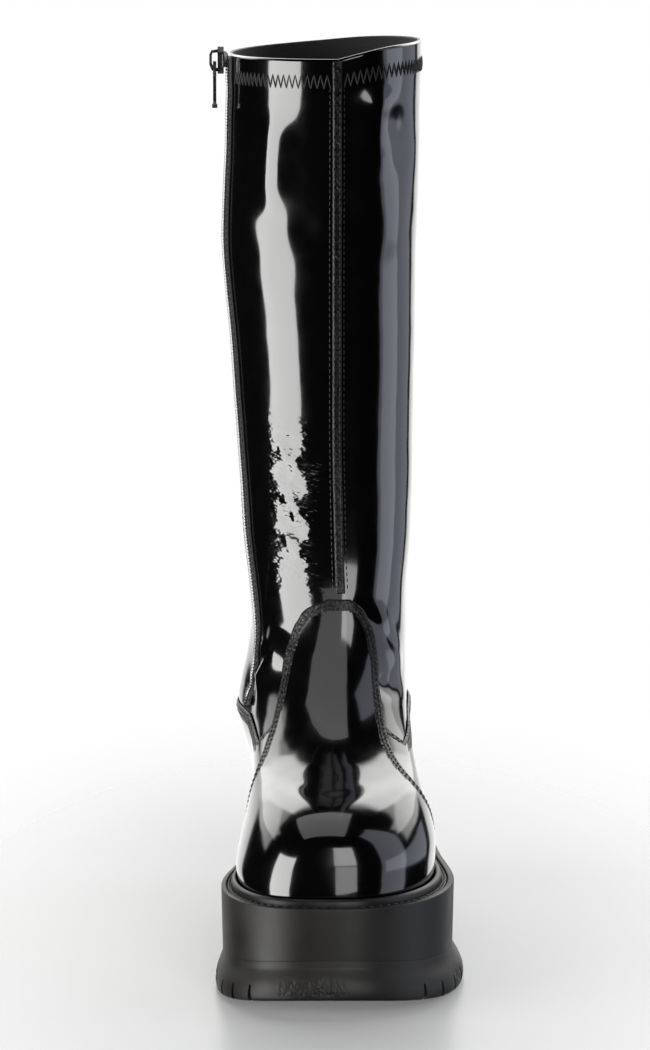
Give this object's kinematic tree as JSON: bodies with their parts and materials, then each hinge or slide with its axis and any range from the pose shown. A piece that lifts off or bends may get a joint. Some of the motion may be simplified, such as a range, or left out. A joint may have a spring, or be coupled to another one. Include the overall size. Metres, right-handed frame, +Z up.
{
  "type": "platform boot",
  "caption": "Knee-high platform boot for the left foot in glossy stretch patent, with a side zip, raised front seam and a flared, notched rubber sole",
  "frame": {"origin": "on the floor under the middle of the heel, on the flat of the tread", "axes": "+Z up, -Y towards the toe, +X towards the outer side of the left foot"},
  "size_m": [0.1261, 0.275, 0.4505],
  "materials": {
    "patent": "black stretch patent with a mirror gloss",
    "tape": "black woven tape",
    "dark_metal": "dark enamelled metal",
    "lining": "black brushed textile",
    "welt_rubber": "satin black rubber",
    "sole_rubber": "smooth matt dark grey rubber"
  },
  "bodies": {
    "boot": {"upper": "patent", "vamp": "patent", "quarter": "patent", "front_seam": "patent", "back_seam": "patent", "zip_tape": "tape", "zip_chain": "dark_metal", "zip_slider": "dark_metal", "insole": "lining", "welt": "welt_rubber", "platform": "sole_rubber", "outsole": "sole_rubber"},
    "zip_pull": {"zip_pull": "dark_metal"}
  },
  "joints": [
    {"name": "pull_swing", "type": "hinge", "parent": "boot", "child": "zip_pull", "pos_m": [-0.05963, -0.02564, 0.4388], "axis": [0, 1, 0], "range_deg": [-4, 150]}
  ]
}
